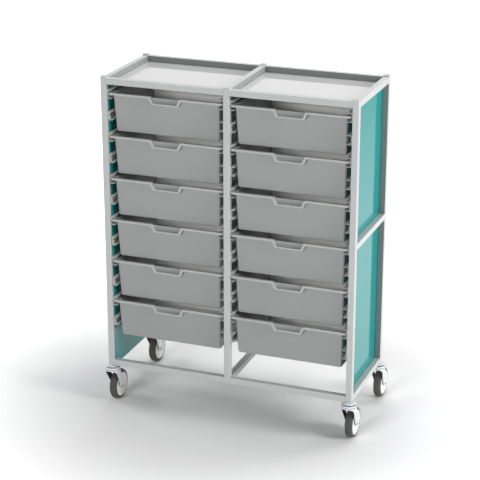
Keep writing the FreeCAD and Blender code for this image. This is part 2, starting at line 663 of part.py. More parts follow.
def wheel_disc():
    """Wheel centre: a hub, a recessed web and a raised rim."""
    hub_half = WHEEL_SPACE / 2 - WHEEL_CLEARANCE
    seat = TYRE_INNER_RADIUS
    profile = [
        (BOLT_RADIUS + RUNNING_CLEARANCE, hub_half),
        (HUB_RADIUS, hub_half),
        (HUB_RADIUS + HUB_SLOPE, WEB_WIDTH / 2),
        (WEB_EDGE_RADIUS, WEB_WIDTH / 2),
        (WEB_EDGE_RADIUS + WEB_STEP, DISC_RIM_WIDTH / 2),
        (seat - DISC_CHAMFER, DISC_RIM_WIDTH / 2),
        (seat - RUNNING_CLEARANCE, TYRE_SEAT / 2),
    ]
    return turned(profile)


def tyre():
    """Rubber tyre with rounded shoulders."""
    half = WHEEL_WIDTH / 2
    block = turned([(TYRE_INNER_RADIUS, TYRE_SEAT / 2), (TYRE_INNER_RADIUS + DISC_CHAMFER, half),
                    (WHEEL_RADIUS, half)])
    rims = [edge for edge in block.Edges if abs(edge.Length - 2 * math.pi * WHEEL_RADIUS) < 1]
    return block.makeFillet(TYRE_SHOULDER, rims)


def castors():
    """Four castors under the corner posts, all trailing to the back."""
    head = castor_head()
    leg = fork()
    bolt = axle_bolt()
    centre = wheel_disc()
    rubber = tyre()
    export("castor_heads", [moved(head, x, y, FRAME_Z) for x, y in CASTOR_PLACES.values()])
    for place, (x, y) in CASTOR_PLACES.items():
        export("castor_fork_" + place, [moved(leg, x, y, FRAME_Z), moved(bolt, x, y, FRAME_Z)])
        export("castor_wheel_" + place, [moved(centre, x, y, FRAME_Z)])
        export("castor_tyre_" + place, [moved(rubber, x, y, FRAME_Z)])


os.makedirs("parts", exist_ok=True)
posts()
long_rails()
cross_rails()
post_caps()
foot_inserts()
side_panels()
top_shelves()
shelf_rivets()
runners()
trays()
castors()
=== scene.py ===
# %% [markdown]
# # Dressing a classroom tray unit
#
# The unit is a square-tube frame on four castors, with two columns of pull-out trays, a recessed shelf
# over each column and a glossy coloured panel on each side. The steel frame, its runners, its panels and
# its forks arrive as finished solids. This lesson gives each of them a finish, and makes the trays and
# the wheels anew, because moulded plastic and rubber live from soft edges that the plain solids lack.

# %% Load the frame
import json
import math

import bpy
import numpy as np
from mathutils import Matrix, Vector


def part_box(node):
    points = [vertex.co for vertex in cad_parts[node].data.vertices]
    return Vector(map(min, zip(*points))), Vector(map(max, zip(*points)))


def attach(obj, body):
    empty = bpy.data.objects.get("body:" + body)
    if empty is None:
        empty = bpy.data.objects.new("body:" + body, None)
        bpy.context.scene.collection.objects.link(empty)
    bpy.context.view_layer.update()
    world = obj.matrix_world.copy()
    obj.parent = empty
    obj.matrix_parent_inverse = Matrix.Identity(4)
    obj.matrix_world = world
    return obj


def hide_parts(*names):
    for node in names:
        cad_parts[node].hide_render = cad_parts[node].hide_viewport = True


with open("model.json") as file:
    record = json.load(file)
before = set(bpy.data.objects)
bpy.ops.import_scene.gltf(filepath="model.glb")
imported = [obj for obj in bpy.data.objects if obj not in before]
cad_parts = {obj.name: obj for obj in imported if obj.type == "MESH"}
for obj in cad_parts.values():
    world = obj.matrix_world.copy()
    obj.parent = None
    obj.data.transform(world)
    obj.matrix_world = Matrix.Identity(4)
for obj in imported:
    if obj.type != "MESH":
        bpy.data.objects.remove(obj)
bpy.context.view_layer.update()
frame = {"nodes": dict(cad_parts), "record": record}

nodes = frame["nodes"]

# %% [markdown]
# ## The camera
#
# The unit is looked at from its front right, from a little above the top shelf and from far away, so
# that its upright tubes stay nearly parallel. A long lens does that. The place is measured from the
# frame's front left foot, because that is the corner that everything else is built from.

# %% Camera
frame_corner = np.array(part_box("post_front_left")[0])
CAMERA_FROM_CORNER = np.array([2.6582, -5.4900, 2.7448])
LOOKS_RIGHT_TO_LEFT = math.radians(20.717)
LOOKS_DOWN = math.radians(19.877)
LENS = 120.135

camera_data = bpy.data.cameras.new("camera")
camera_data.lens = LENS
camera_data.sensor_width = 36.0
camera_data.clip_end = 100.0
camera = bpy.data.objects.new("camera", camera_data)
camera.location = frame_corner + CAMERA_FROM_CORNER
camera.rotation_euler = (math.pi / 2 - LOOKS_DOWN, 0.0, LOOKS_RIGHT_TO_LEFT)
bpy.context.scene.collection.objects.link(camera)
bpy.context.scene.camera = camera
print("camera at", [round(value, 3) for value in camera.location])

# %% [markdown]
# ## Arithmetic with sockets
#
# A shader is a graph, but most of it is plain arithmetic: a mask times a colour, one minus a mask. It
# could be wired node by node, which hides the sum that is meant. Here a small class holds one output
# socket, and Python's own operators add the Math nodes. Every other node comes from its `node` method.

# %% A socket that can be calculated with
class Socket:
    """One output socket of a material. Sums, products and powers of it add Math nodes."""

    def __init__(self, tree, output):
        self.tree = tree
        self.output = output

    def node(self, kind, settings=None, sockets=None, output=0):
        """Add a node of a kind: its settings first, then a value or a link for each socket."""
        made = self.tree.nodes.new(kind)
        for name, value in (settings or {}).items():
            setattr(made, name, value)
        for name, value in (sockets or {}).items():
            if isinstance(value, Socket):
                self.tree.links.new(value.output, made.inputs[name])
            else:
                made.inputs[name].default_value = value
        return Socket(self.tree, made.outputs[output] if made.outputs else None)

    def math(self, operation, first, second=0.0):
        return self.node("ShaderNodeMath", {"operation": operation}, {0: first, 1: second})

    def __add__(self, other):
        return self.math("ADD", self, other)

    def __radd__(self, other):
        return self.math("ADD", other, self)

    def __sub__(self, other):
        return self.math("SUBTRACT", self, other)

    def __rsub__(self, other):
        return self.math("SUBTRACT", other, self)

    def __mul__(self, other):
        return self.math("MULTIPLY", self, other)

    def __rmul__(self, other):
        return self.math("MULTIPLY", other, self)

    def __gt__(self, other):
        return self.math("GREATER_THAN", self, other)

    def __lt__(self, other):
        return self.math("LESS_THAN", self, other)

    def __abs__(self):
        return self.math("ABSOLUTE", self)


def rgba(colour):
    """A grey or a colour, as the four numbers that a node wants."""
    if np.isscalar(colour):
        colour = (colour, colour, colour)
    return (*colour, 1.0)


def paint(red, green, blue):
    """A colour as it looks on a screen, 0 to 255, as the light values that Blender mixes."""
    seen = np.array([red, green, blue]) / 255.0
    low = seen / 12.92
    high = ((seen + 0.055) / 1.055) ** 2.4
    return tuple(float(value) for value in np.where(seen <= 0.04045, low, high))


print("silver grey is", [round(value, 3) for value in paint(196, 198, 197)])

# %% [markdown]
# ## How a finish is put together
#
# Every finish here starts the same way: a Principled shader with its constant settings, and the place on
# the piece in metres from Object coordinates. All pieces sit at the origin, so that place is the same
# for all of them and a pattern never repeats from tray to tray. Fine grain goes into a Bump node, and
# large, weak noise into colour and roughness, because no paint or plastic is quite even.

# %% The start of every finish
def new_finish(name, **constants):
    """An empty material: its shader with constant settings, and a Socket that gives the place."""
    material = bpy.data.materials.new(name)
    material.use_nodes = True
    tree = material.node_tree
    shader = tree.nodes["Principled BSDF"]
    for socket, value in constants.items():
        shader.inputs[socket.replace("_", " ")].default_value = value
    place = Socket(tree, None).node("ShaderNodeTexCoord", output="Object")
    return material, shader, place


def noise(place, scale, detail=2.0, roughness=0.5):
    """Soft noise from 0 to 1, whose blobs are about 1 / scale metres wide."""
    sockets = {"Vector": place, "Scale": scale, "Detail": detail, "Roughness": roughness}
    return place.node("ShaderNodeTexNoise", None, sockets)


def mixed(factor, first, second):
    """First colour where the factor is 0, second where it is 1."""
    first, second = (value if isinstance(value, Socket) else rgba(value) for value in (first, second))
    return factor.node("ShaderNodeMix", {"data_type": "RGBA"}, {0: factor, 6: first, 7: second}, output=2)


def bumped(height, strength, distance):
    """A normal that leans as if the surface had this height, in metres times the distance."""
    sockets = {"Height": height, "Strength": strength, "Distance": distance}
    return height.node("ShaderNodeBump", None, sockets)


def feed(shader, socket, value):
    """Link a Socket to the shader."""
    value.tree.links.new(value.output, shader.inputs[socket])


def speckle(place, scale, spread, middle):
    """Noise about a middle value, as far as the spread on either side."""
    return noise(place, scale) * (2 * spread) + (middle - spread)


# %% [markdown]
# ## Powder-coated steel
#
# The tubes and runners are welded steel with a silver-grey powder coat. Powder melts into a skin with a
# faint orange peel, about a millimetre from crest to crest, and a satin gloss. Two noises do it: one in
# the bump at that size, and a broad one that shifts the grey by a hair along each tube.
#
# Some tubes round the shelves and panels get a second, darker grey on the faces that look inwards or up
# at a panel. The paint itself is one grey all over: the second one only deepens the shade in those
# corners, which such soft lamps leave too light. The direction of the face picks it.

# %% Frame paint
def powder_coat(name, grey, deeper, inner=None):
    material, shader, place = new_finish(name, IOR=1.5)
    colour = mixed(noise(place, 7.0, 3.0), deeper, grey)
    if inner:
        axis, sign, shade = inner
        facing = place.node("ShaderNodeNewGeometry", output="Normal")
        along = facing.node("ShaderNodeSeparateXYZ", None, {0: facing}, output=axis)
        colour = mixed(sign * along > 0.5, colour, shade)
    feed(shader, "Base Color", colour)
    feed(shader, "Roughness", speckle(place, 60.0, 0.05, 0.38))
    peel = noise(place, 900.0, 1.0) + 0.4 * noise(place, 300.0, 1.0)
    feed(shader, "Normal", bumped(peel, 0.10, 0.0002))
    return material


FRAME_GREYS = paint(202, 204, 203), paint(196, 199, 198)
frame_paint = powder_coat("frame paint", *FRAME_GREYS)
runner_paint = powder_coat("runner paint", paint(212, 214, 213), paint(205, 208, 207))
back_rail_paint = powder_coat("back rail paint", *FRAME_GREYS, ("Y", -1.0, paint(114, 116, 116)))
side_rail_paint = powder_coat("side rail paint", *FRAME_GREYS, ("X", 1.0, paint(146, 148, 147)))
back_post_paint = powder_coat("back post paint", *FRAME_GREYS, ("Y", -1.0, paint(150, 152, 151)))
panel_ledge_paint = powder_coat("panel ledge paint", *FRAME_GREYS, ("Z", 1.0, paint(176, 178, 177)))
print("powder coats:", frame_paint.name, runner_paint.name)

# %% [markdown]
# ## High-gloss sheet
#
# The side panels are a teal laminate and the shelves a light grey one. Both mirror the tubes beside them
# when they are seen at a low angle, so both are nearly smooth, and the shelves have a clear coat as well.
# A laminate is never perfectly flat: a broad, very shallow wave in the bump bends those mirrored edges a
# little. The sawn edges of the sheet show its duller core, and are found by the way that a face looks.

# %% Laminates
def gloss_sheet(name, colour, deeper, core, face_axis, coat):
    material, shader, place = new_finish(name, IOR=1.5, Coat_Weight=coat, Coat_Roughness=0.03)
    facing = place.node("ShaderNodeNewGeometry", output="Normal")
    axes = facing.node("ShaderNodeSeparateXYZ", None, {0: facing}, output=face_axis)
    sawn_edge = 1.0 - (abs(axes) > 0.5)
    face = mixed(noise(place, 9.0, 3.0), deeper, colour)
    feed(shader, "Base Color", mixed(sawn_edge, face, core))
    feed(shader, "Roughness", sawn_edge * 0.45 + speckle(place, 30.0, 0.01, 0.07))
    wave = noise(place, 5.0, 1.0)
    feed(shader, "Normal", bumped(wave, 0.12, 0.0015))
    return material


side_gloss = gloss_sheet("side panel", paint(12, 147, 146), paint(10, 142, 140), paint(30, 100, 98),
                         face_axis="X", coat=0.0)
shelf_gloss = gloss_sheet("top shelf", paint(222, 222, 222), paint(218, 218, 218), paint(160, 160, 158),
                          face_axis="Z", coat=1.0)
print("laminates:", side_gloss.name, shelf_gloss.name)

# %% [markdown]
# ## Moulded trays
#
# The trays are injection-moulded in mid grey, with the fine matt grain, about half a millimetre across,
# that a spark-eroded mould leaves. Plastic cools a touch unevenly, so the grey and the gloss drift
# slowly over a wall. The inside is painted paler than the outside, as painted light, because little
# light reaches it through the gap above the lip, and it is made smoother too. Only its two side walls
# keep the darker grey near the rim, a painted shade, so that they stay dark beside the light back wall.
# The lip gets a weaker painted highlight, between the two. How much painted light and smoothness each
# place gets comes from a point attribute that the tray's mesh carries; a piece without it reads 0.

# %% Tray plastic
def moulded(name, colour, deeper, painted_light_colour, roughness, grain):
    material, shader, place = new_finish(name, IOR=1.49)
    # The attribute mixes in the paler colour: painted light inside the tray, a weaker painted highlight on
    # the lip.
    painted_light_and_polish = place.node("ShaderNodeAttribute", {"attribute_name": "painted_light_and_polish"}, output="Fac")
    drifting = mixed(noise(place, 4.0, 4.0), deeper, colour)
    feed(shader, "Base Color", mixed(painted_light_and_polish, drifting, painted_light_colour))
    feed(shader, "Roughness", speckle(place, 12.0, 0.04, roughness) - painted_light_and_polish * 0.10)
    feed(shader, "Normal", bumped(noise(place, 1800.0, 2.0) * (1.0 - painted_light_and_polish * 0.7), grain, 0.0001))
    return material


tray_plastic = moulded("tray plastic", paint(164, 166, 165), paint(160, 162, 161), paint(238, 238, 237),
                       roughness=0.42, grain=0.35)
cap_plastic = moulded("cap plastic", paint(196, 198, 197), paint(188, 190, 189), paint(205, 206, 205),
                      roughness=0.35, grain=0.2)
wheel_plastic = moulded("wheel plastic", paint(250, 250, 248), paint(246, 246, 243), paint(250, 250, 248),
                        roughness=0.30, grain=0.1)
print("plastics:", tray_plastic.name, cap_plastic.name, wheel_plastic.name)

# %% [markdown]
# ## Castor metals and rubber
#
# Fork, races and bolts are bright zinc plate over pressed steel. Zinc is a metal, with a bluish cast and
# a faint cloudiness left by the bath. Inside the fork the colour is made nearly black, a painted shade,
# because the pale floor would otherwise light up that hollow: the faces there look at the wheel or down,
# which is how they are found. The ball race and the groove under it get the same painted shade, and are
# found by their height.
# The rivets are bare aluminium. The tyre is dark grey rubber with a dry, matt skin and faint clouds of
# dust.

# %% Zinc, aluminium and rubber
CASTOR_X = 0.5125
RACE_Z = 0.16675
RACE_HALF = 0.0018
GROOVE_Z = 0.1562
GROOVE_HALF = 0.0010
DOWN_WEIGHT = 0.020
INWARDS_LIMIT = -0.004
PAINTED_SHADE_GREY = 0.05


def painted_shade_places(place):
    """1 in a castor's ball race and groove, and on faces that look at the wheel's middle plane or down.

    How far a face lies from the middle plane, times how much it looks away from that plane, is below
    zero on the faces that look at the wheel. Those that look down are let in by a weight."""
    facing = place.node("ShaderNodeNewGeometry", output="Normal")
    x, z, normal_x, normal_z = (
        place.node("ShaderNodeSeparateXYZ", None, {0: vector}, output=axis)
        for vector in (place, facing) for axis in "XZ")
    outwards = (abs(x) - CASTOR_X) * normal_x * x.math("SIGN", x)
    grooves = (abs(z - RACE_Z) < RACE_HALF) + (abs(z - GROOVE_Z) < GROOVE_HALF)
    inwards = outwards + DOWN_WEIGHT * normal_z < INWARDS_LIMIT
    return grooves.math("MAXIMUM", grooves, inwards)


def plated(name, colour, cloud, roughness, metallic, hollow_shade):
    material, shader, place = new_finish(name, Metallic=metallic)
    plate = mixed(noise(place, 90.0, 4.0, 0.6), cloud, colour)
    # Painted shade: near black in the fork's hollow, its ball race and its groove; the rivets get none.
    inside = painted_shade_places(place) * hollow_shade
    feed(shader, "Base Color", mixed(inside, plate, PAINTED_SHADE_GREY))
    feed(shader, "Roughness", speckle(place, 160.0, 0.07, roughness) + inside * 0.3)
    feed(shader, "Normal", bumped(noise(place, 700.0, 3.0), 0.15, 0.0001))
    return material


castor_zinc = plated("castor zinc", (0.90, 0.93, 0.96), (0.80, 0.84, 0.88),
                     roughness=0.30, metallic=0.5, hollow_shade=1.0)
rivet_metal = plated("rivet metal", (0.78, 0.79, 0.80), (0.70, 0.71, 0.72),
                     roughness=0.32, metallic=1.0, hollow_shade=0.0)


def rubber(name, colour, dusty):
    material, shader, place = new_finish(name, IOR=1.52)
    feed(shader, "Base Color", mixed(noise(place, 45.0, 5.0, 0.65), colour, dusty))
    feed(shader, "Roughness", speckle(place, 80.0, 0.08, 0.62))
    feed(shader, "Normal", bumped(noise(place, 1500.0, 2.0), 0.3, 0.0001))
    return material


tyre_rubber = rubber("tyre rubber", paint(70, 70, 67), paint(84, 84, 80))
print("castor finishes:", castor_zinc.name, rivet_metal.name, tyre_rubber.name)

# %% [markdown]
# ## Finishes onto the solids
#
# Each solid of the record names its slot, so the finishes are handed out by that name and none is
# forgotten.

# %% Hand out the finishes
FINISH_OF_SLOT = {
    "frame_paint": frame_paint, "runner_paint": runner_paint, "side_panel": side_gloss,
    "top_shelf": shelf_gloss, "tray_plastic": tray_plastic, "cap_plastic": cap_plastic,
    "rivet_metal": rivet_metal, "castor_zinc": castor_zinc, "wheel_white": wheel_plastic,
    "tyre_rubber": tyre_rubber,
}
FINISH_OF_NODE = {
    "rail_top_back_left": back_rail_paint, "rail_top_back_right": back_rail_paint,
    "rail_top_side_left": side_rail_paint, "rail_top_cross_centre": side_rail_paint,
    "post_back_left": back_post_paint, "post_back_right": back_post_paint,
    "rail_middle_side_left": panel_ledge_paint, "rail_middle_side_right": panel_ledge_paint,
    "rail_bottom_side_left": panel_ledge_paint, "rail_bottom_side_right": panel_ledge_paint,
}
for part in frame["record"]["subparts"]:
    mesh = nodes[part["node"]].data
    mesh.materials.clear()
    mesh.materials.append(FINISH_OF_NODE.get(part["node"], FINISH_OF_SLOT[part["material_slot"]]))

# %% [markdown]
# ## From stations to a surface
#
# Trays, tyres and wheels are all closed skins that can be laid out as a grid: one direction runs along
# a section of the wall, the other round the piece. The section is given as a few stations, its corners.
# Each corner is then softened: it is replaced by a short curve that starts and ends a given distance
# away from it, the way an edge in a mould is rounded. Whole arrays of corners are softened at once.

# %% Softened sections
REACH_LIMIT = 0.45


def softened(stations, radii, steps, closed):
    """Stations (section, round, xyz) with each corner rounded.

    A corner P between its neighbours A and B becomes a quadratic curve: it starts on PA and ends on PB,
    at the radius from P or at REACH_LIMIT of the shorter side, and P itself pulls the curve."""
    before = np.roll(stations, 1, axis=0)
    after = np.roll(stations, -1, axis=0)
    to_before = before - stations
    to_after = after - stations
    reach_before = np.linalg.norm(to_before, axis=2, keepdims=True)
    reach_after = np.linalg.norm(to_after, axis=2, keepdims=True)
    reach = np.minimum(REACH_LIMIT * np.minimum(reach_before, reach_after), np.reshape(radii, (-1, 1, 1)))
    start = stations + to_before / np.maximum(reach_before, 1e-9) * reach
    end = stations + to_after / np.maximum(reach_after, 1e-9) * reach
    rings = []
    for index, count in enumerate(steps):
        if not closed and index in (0, len(steps) - 1):
            rings.append(stations[index][None])
            continue
        along = np.linspace(0.0, 1.0, count)[:, None, None]
        back = 1 - along
        rings.append(back ** 2 * start[index] + 2 * along * back * stations[index] + along ** 2 * end[index])
    return np.concatenate(rings)


def skin_mesh(name, grid, closed):
    """Mesh of a grid (rings, round, xyz) that runs round on itself.

    A closed grid also joins its last ring to its first. An open one ends in a point at each end, the
    middle of its last ring. The faces point outwards: if the enclosed volume comes out negative, the
    grid is turned over."""
    rings, around, _ = grid.shape
    points = grid.reshape(-1, 3)
    ring_count = rings if closed else rings - 1
    row, column = np.meshgrid(np.arange(ring_count), np.arange(around), indexing="ij")
    next_row = (row + 1) % rings
    next_column = (column + 1) % around
    corners = [row * around + column, row * around + next_column,
               next_row * around + next_column, next_row * around + column]
    quads = np.stack(corners, axis=-1).reshape(-1, 4)
    a, b, c, d = (points[quads[:, corner]] for corner in range(4))
    volume = float(np.einsum("ij,ij->", a, np.cross(b, c)) + np.einsum("ij,ij->", a, np.cross(c, d)))
    triangles = np.zeros((0, 3), int)
    if not closed:
        last = (rings - 1) * around
        step = np.arange(around)
        beyond = (step + 1) % around
        poles = np.stack([grid[0].mean(axis=0), grid[-1].mean(axis=0)])
        first_pole = len(points)
        points = np.concatenate([points, poles])
        first_fan = np.stack([np.full(around, first_pole), beyond, step], axis=1)
        last_fan = np.stack([np.full(around, first_pole + 1), last + step, last + beyond], axis=1)
        triangles = np.concatenate([first_fan, last_fan])
    if volume < 0:
        quads = quads[:, ::-1]
        triangles = triangles[:, ::-1]
    mesh = bpy.data.meshes.new(name)
    mesh.from_pydata(points.tolist(), [], quads.tolist() + triangles.tolist())
    mesh.update()
    mesh.polygons.foreach_set("use_smooth", np.ones(len(mesh.polygons), bool))
    return mesh


def finished_piece(name, mesh, finish, body, slot, *replaced):
    """Object of a mesh: dressed, riding on its body and standing for the solids that it replaces."""
    piece = bpy.data.objects.new(name, mesh)
    bpy.context.scene.collection.objects.link(piece)
    mesh.materials.append(finish)
    even = piece.modifiers.new("flat faces stay flat", "WEIGHTED_NORMAL")
    even.mode = "FACE_AREA"
    even.weight = 100
    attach(piece, body)
    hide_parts(*replaced)
    return piece


print("3 corners in 3 steps each:", len(softened(np.zeros((3, 4, 3)), [0.1] * 3, [3] * 3, True)), "rings")

# %% [markdown]
# ## The way round a tray
#
# A tray is a box with a flange, and both are rounded rectangles seen from above. One set of columns runs
# round them all, and each column knows which way it looks and where it stands on the flange. Columns
# crowd at the front, where the handle dips, and at the places where the lip changes its depth.
#
# On an inner rectangle, the columns near the middle of a side keep their place and those near the ends
# are squeezed together, so that the handle is cut straight through lip, flange and wall.

# %% Columns round a tray
RIM_CORNER = 0.006
RIM_SIDE = 0.015
LIP_THICKNESS = 0.003
CORNER_STEPS = 7
SQUEEZE_FROM = 0.085
SKID_FROM_FRONT = 0.018
SKID_FROM_BACK = 0.006
SKID_RAMP = 0.005
STEP = 0.0008

tray_low, tray_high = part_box("tray_left_1")
rim_half = (tray_high.x - tray_low.x) / 2
tray_front = tray_low.y
tray_back = tray_high.y
tray_middle = (tray_front + tray_back) / 2
depth_half = (tray_back - tray_front) / 2
tray_height = tray_high.z - tray_low.z
body_half = rim_half - RIM_SIDE


def tray_columns():
    """Columns anticlockwise from the front's left end: where each stands, and which way it looks.

    Columns lie 1.4 mm apart across the handle's slopes, and close together where the skids begin and
    end. In between, a few are enough to carry the draft."""
    end_x = rim_half - RIM_CORNER
    end_y = depth_half - RIM_CORNER
    handle = np.concatenate([np.linspace(0.0, 0.044, 5), np.arange(0.046, 0.0735, 0.0014)])
    beside = np.array([0.080, 0.095, 0.120, 0.150, 0.180, 0.205, 0.220, end_x])
    front_half = np.concatenate([handle, beside])
    front = np.concatenate([-front_half[:0:-1], front_half])
    skid_start = -depth_half + SKID_FROM_FRONT
    skid_end = depth_half - SKID_FROM_BACK
    side = np.concatenate([
        [-end_y, -end_y + STEP, -end_y + 2 * STEP, skid_start - STEP],
        np.linspace(skid_start, skid_start + SKID_RAMP, 4),
        np.linspace(-0.15, 0.15, 7),
        [skid_end - 0.03, skid_end - 2 * STEP, skid_end - STEP / 2]])
    side = np.unique(np.clip(side, -end_y, end_y))
    back = np.array([end_x, body_half + STEP, body_half, 0.19, 0.15, 0.1, 0.05, 0.0])
    back = np.concatenate([back, -back[-2::-1]])
    turn = np.linspace(0.0, math.pi / 2, CORNER_STEPS + 1)[1:-1]

    def straight(x, y, look_x, look_y):
        x, y = np.broadcast_arrays(x, y)
        return np.stack([x, y, np.full(x.shape, look_x), np.full(x.shape, look_y)], axis=1)

    def corner(x, y, start_angle):
        angle = start_angle + turn
        x, y = np.full(turn.shape, x), np.full(turn.shape, y)
        return np.stack([x, y, np.cos(angle), np.sin(angle)], axis=1)

    return np.concatenate([
        straight(front, -end_y, 0.0, -1.0), corner(end_x, -end_y, -math.pi / 2),
        straight(end_x, side, 1.0, 0.0), corner(end_x, end_y, 0.0),
        straight(back, end_y, 0.0, 1.0), corner(-end_x, end_y, math.pi / 2),
        straight(-end_x, side[::-1], -1.0, 0.0), corner(-end_x, -end_y, math.pi)])


columns = tray_columns()
column_x, column_y, look_x, look_y = columns.T
at_front = look_y == -1.0
at_side = np.abs(look_x) == 1.0
at_back = look_y == 1.0
front_corner = ~(at_front | at_side | at_back) & (column_y < 0)
print("columns round a tray:", len(columns))


def squeezed(place, reference_end, low_end, high_end):
    """Places along a side, fitted to a shorter side: fixed near the middle, squeezed at both ends."""
    share = (np.abs(place) - SQUEEZE_FROM) / (reference_end - SQUEEZE_FROM)
    low = SQUEEZE_FROM + share * (low_end - SQUEEZE_FROM)
    high = SQUEEZE_FROM + share * (high_end - SQUEEZE_FROM)
    return np.where(place > SQUEEZE_FROM, high, np.where(place < -SQUEEZE_FROM, -low, place))


def tray_ring(half, front, back, radius, height):
    """Points of one rounded rectangle: the core's corner or side, plus the radius along the look."""
    core_x = half - radius
    core_front = tray_middle - front - radius
    core_back = back - radius - tray_middle
    x = squeezed(column_x, rim_half - RIM_CORNER, core_x, core_x)
    y = squeezed(column_y, depth_half - RIM_CORNER, core_front, core_back)
    height = np.broadcast_to(height, column_x.shape)
    return np.stack([x + radius * look_x, tray_middle + y + radius * look_y, height], axis=1)


# %% [markdown]
# ## The handle
#
# In front the lip dips in a trapezoid, and the flange dips with it down to a narrow ledge, while the
# tray's wall stays up behind it. Fingers go in behind the band. The dip is a ramp in x: 0 outside, 1 in
# the middle, with both bends of the ramp rounded by a square root, the usual smooth stand-in for a kink.

# %% Lip, flange and wall heights at each column
DIP_TOP_HALF = 0.0615
DIP_FOOT_HALF = 0.0485
DIP_DEPTH = 0.026
DIP_BAND = 0.006
DIP_SIDE_BAND = 0.0075
WALL_DROP = 0.005
LEDGE_TOP = 0.028
LEDGE_UNDER = 0.031
LIP_HEIGHT = 0.0085
FLANGE = 0.003
SKID_DROP = 0.0217
EDGE_DROP = 0.0036
DIP_SOFTNESS = 0.05


def smooth_ramp(place):
    """0 below 0, 1 above 1 and straight between, with rounded bends."""
    soft = DIP_SOFTNESS
    return (np.sqrt(place ** 2 + soft ** 2) - np.sqrt((place - 1) ** 2 + soft ** 2) + 1) / 2


def dip(top_half, foot_half):
    """How far each column has gone down the dip, from 0 to 1."""
    ramp = smooth_ramp((top_half - np.abs(column_x)) / (top_half - foot_half))
    return np.where(at_front, np.clip(ramp, 0.0, 1.0), 0.0)


def lip_depths():
    """Depth of the lip's lower edge at each column: front lip, skids, back lip, bare edge between."""
    along = tray_middle + column_y
    skid_start = tray_front + SKID_FROM_FRONT
    skid_end = tray_back - SKID_FROM_BACK - STEP
    skid = np.clip((along - skid_start) / SKID_RAMP, 0.0, 1.0) * (along < skid_end)
    side = EDGE_DROP + (SKID_DROP - EDGE_DROP) * skid
    side = np.where(along < tray_front + RIM_CORNER + STEP / 2, LIP_HEIGHT, side)
    back = np.where(np.abs(column_x) <= body_half, LIP_HEIGHT, EDGE_DROP)
    depth = np.select([at_front | front_corner, at_side, at_back], [LIP_HEIGHT, side, back], EDGE_DROP)
    band = dip(DIP_TOP_HALF + DIP_SIDE_BAND, DIP_FOOT_HALF + DIP_SIDE_BAND)
    return depth + band * (DIP_DEPTH + DIP_BAND - LIP_HEIGHT)


dipped = dip(DIP_TOP_HALF, DIP_FOOT_HALF)
lip_depth = lip_depths()
lip_top = DIP_DEPTH * dipped
ledge_top = LEDGE_TOP * dipped
ledge_under = FLANGE + (LEDGE_UNDER - FLANGE) * dipped
wall_top = np.minimum(WALL_DROP, ledge_top)
print("lip depths from", round(lip_depth.min() * 1000, 1), "to", round(lip_depth.max() * 1000, 1), "mm")

# %% [markdown]
# ## One tray
#
# The section starts in the middle of the floor inside, climbs the wall, crosses the flange, turns round
# the lip, comes back under the flange and goes down the outside to the middle of the floor again. That
# is one closed skin with a real wall thickness, so a tray pulled out shows a true inside.

# %% A tray as one skin
BODY_FROM_FRONT = 0.011
BODY_FROM_BACK = 0.013
TRAY_WALL = 0.0025
BODY_CORNER = 0.009
SIDE_DRAFT = 0.006
FRONT_DRAFT = 0.014
BACK_DRAFT = 0.009
FOOT_ROUND = 0.005
EDGE_ROUND = 0.0009
# Each pair is how much painted light a station gets, with smoothness, in front and at the back, then on the
# sides: the inside is fully painted light, the ledge and lip get a weaker painted highlight, and the inner
# side walls keep painted shade near the rim.
MATT = (0.0, 0.0)
LEDGE = (0.1, 0.1)
LIP = (0.3, 0.3)
PAINTED_LIGHT_FULL = (1.0, 1.0)
LIT_ENDS_SHADED_SIDES = (1.0, 0.1)


def body_wall(inset, depth, size=1.0):
    """Rectangle of the tapering wall at a depth under the rim, as half width, front, back and radius."""
    sunk = depth / tray_height
    half = body_half - inset - SIDE_DRAFT * sunk
    front = tray_front + BODY_FROM_FRONT + inset + FRONT_DRAFT * sunk
    back = tray_back - BODY_FROM_BACK - inset - BACK_DRAFT * sunk
    middle = (front + back) / 2
    reach = (back - front) / 2 * size
    return half * size, middle - reach, middle + reach, (BODY_CORNER - inset) * size


def between(first, second, share):
    """Rectangle part of the way from one to another; the share may differ from column to column."""
    return tuple(a + (b - a) * share for a, b in zip(first, second))


def tray_section():
    """All stations of the section: a rectangle, its height, the softening radius and the painted light with
    its smoothness, which is a pair, in front and at the back and then on the two sides."""
    edge = (rim_half, tray_front, tray_back, RIM_CORNER)
    inside_edge = (rim_half - LIP_THICKNESS, tray_front + LIP_THICKNESS, tray_back - LIP_THICKNESS,
                   RIM_CORNER - LIP_THICKNESS)
    floor = tray_height - TRAY_WALL
    crest = body_wall(0.0, wall_top)
    return [
        (body_wall(TRAY_WALL, floor, 0.5), -floor, 0.0, PAINTED_LIGHT_FULL),
        (body_wall(TRAY_WALL, floor), -floor, FOOT_ROUND - TRAY_WALL, PAINTED_LIGHT_FULL),
        (body_wall(TRAY_WALL, wall_top), -wall_top, EDGE_ROUND, LIT_ENDS_SHADED_SIDES),
        (crest, -wall_top, EDGE_ROUND, MATT),
        (between(between(crest, edge, 0.2), body_wall(0.0, ledge_top), dipped), -ledge_top, EDGE_ROUND, MATT),
        (between(between(crest, edge, 0.5), inside_edge, dipped), -ledge_top, EDGE_ROUND, LEDGE),
        (inside_edge, -lip_top, EDGE_ROUND, LIP),
        (edge, -lip_top, EDGE_ROUND, LIP),
        (edge, -lip_depth, EDGE_ROUND, LIP),
        (inside_edge, -lip_depth, EDGE_ROUND, MATT),
        (inside_edge, -ledge_under, EDGE_ROUND, MATT),
        (body_wall(0.0, ledge_under), -ledge_under, EDGE_ROUND, MATT),
        (body_wall(0.0, tray_height), -tray_height, FOOT_ROUND, MATT),
        (body_wall(0.0, tray_height, 0.5), -tray_height, 0.0, MATT),
    ]


